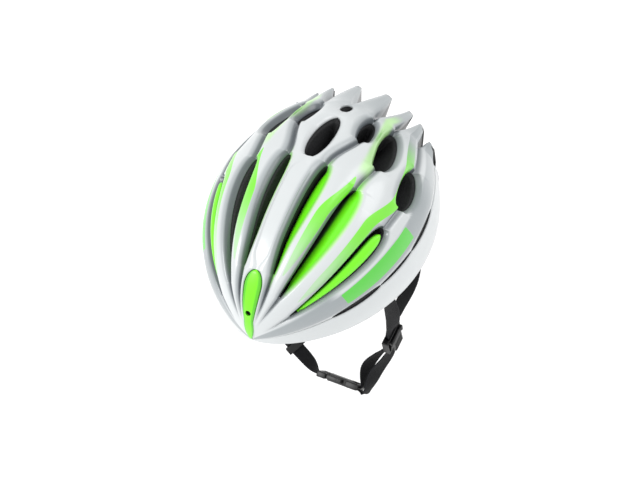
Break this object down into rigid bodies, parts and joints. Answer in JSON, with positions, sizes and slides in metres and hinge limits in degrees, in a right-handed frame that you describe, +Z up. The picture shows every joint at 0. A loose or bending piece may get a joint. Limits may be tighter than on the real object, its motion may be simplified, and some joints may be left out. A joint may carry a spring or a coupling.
{
  "type": "cycling helmet",
  "caption": "Ribbed in-mould road cycling helmet with long front vents, rear fins, foam liner, dial-adjusted head band and webbing harness with side-release buckle",
  "frame": {"origin": "middle of the head opening, on the level where the wearer's head enters", "axes": "+Z up, the helmet's front faces -Y, the wearer's left is +X"},
  "size_m": [0.2198, 0.283, 0.3325],
  "materials": {
    "shell_white": "gloss",
    "foam_black": "satin",
    "accent_green": "gloss",
    "pad_fabric": "matte",
    "band_nylon": "satin",
    "knob_rubber": "matte",
    "webbing": "matte",
    "hardware_black": "satin",
    "steel": "brushed"
  },
  "bodies": {
    "helmet": {"upper_shell": "shell_white", "lower_shell": "shell_white", "eps_liner": "foam_black", "brow_badge": "accent_green", "vent_inlay_left": "accent_green", "vent_inlay_right": "accent_green", "brow_pad": "pad_fabric", "crown_pad_left": "pad_fabric", "crown_pad_right": "pad_fabric", "side_pad_left": "pad_fabric", "side_pad_right": "pad_fabric", "headband_front": "band_nylon", "temple_anchor_left": "band_nylon", "temple_anchor_right": "band_nylon", "band_arm_left": "band_nylon", "band_arm_right": "band_nylon", "cradle_housing": "band_nylon", "cradle_cover": "band_nylon", "cradle_screws": "steel", "cradle_hanger": "band_nylon", "occipital_pads": "pad_fabric", "detent_spring": "steel", "strap_anchors_front": "hardware_black", "strap_anchors_rear": "hardware_black", "front_webbing_left": "webbing", "front_webbing_right": "webbing", "rear_webbing_left": "webbing", "rear_webbing_right": "webbing", "divider_left": "hardware_black", "divider_right": "hardware_black", "cam_pins": "steel", "chin_webbing_left": "webbing", "chin_webbing_right": "webbing", "chin_loop_left": "webbing", "chin_loop_right": "webbing", "buckle_female": "hardware_black", "strap_keeper": "hardware_black", "strap_end_tail": "webbing", "strap_end_cap": "hardware_black"},
    "dial": {"dial_knob": "knob_rubber", "pinion_shaft": "band_nylon"},
    "rack_left": {"rack_left": "band_nylon"},
    "rack_right": {"rack_right": "band_nylon"},
    "cam_left": {"cam_lever_left": "hardware_black"},
    "cam_right": {"cam_lever_right": "hardware_black"},
    "buckle_male": {"buckle_male": "hardware_black"},
    "latch_upper": {"latch_arm_upper": "hardware_black"},
    "latch_lower": {"latch_arm_lower": "hardware_black"}
  },
  "joints": [
    {"name": "dial_turn", "type": "hinge", "parent": "helmet", "child": "dial", "pos_m": [0, 0.066, -0.044], "axis": [0, 1, 0], "range_deg": [-110, 110]},
    {"name": "rack_left_slide", "type": "slide", "parent": "helmet", "child": "rack_left", "axis": [1, 0, 0], "range_m": [-0.0077, 0.0077], "deforming": ["band_arm_left"]},
    {"name": "rack_right_slide", "type": "slide", "parent": "helmet", "child": "rack_right", "axis": [-1, 0, 0], "range_m": [-0.0077, 0.0077], "deforming": ["band_arm_right"]},
    {"name": "cam_left_swing", "type": "hinge", "parent": "helmet", "child": "cam_left", "pos_m": [0.0805, -0.037, -0.114], "axis": [0, -1, 0], "range_deg": [0, 95]},
    {"name": "cam_right_swing", "type": "hinge", "parent": "helmet", "child": "cam_right", "pos_m": [-0.0805, -0.037, -0.114], "axis": [0, 1, 0], "range_deg": [0, 95]},
    {"name": "buckle_release", "type": "slide", "parent": "helmet", "child": "buckle_male", "axis": [-1, 0, 0], "range_m": [0, 0.022], "deforming": ["chin_webbing_right"]},
    {"name": "latch_upper_squeeze", "type": "hinge", "parent": "buckle_male", "child": "latch_upper", "pos_m": [0.007, -0.06564, -0.20855], "axis": [0, -0.891, -0.454], "range_deg": [0, 6], "stiffness_Nm_per_rad": 0.02},
    {"name": "latch_lower_squeeze", "type": "hinge", "parent": "buckle_male", "child": "latch_lower", "pos_m": [0.007, -0.07436, -0.19145], "axis": [0, 0.891, 0.454], "range_deg": [0, 6], "stiffness_Nm_per_rad": 0.02}
  ],
  "couplings": [
    {"joint": "rack_left_slide", "follows": "dial_turn", "m_per_rad": 0.004},
    {"joint": "rack_right_slide", "follows": "dial_turn", "m_per_rad": 0.004},
    {"joint": "latch_lower_squeeze", "follows": "latch_upper_squeeze", "ratio": 1}
  ]
}
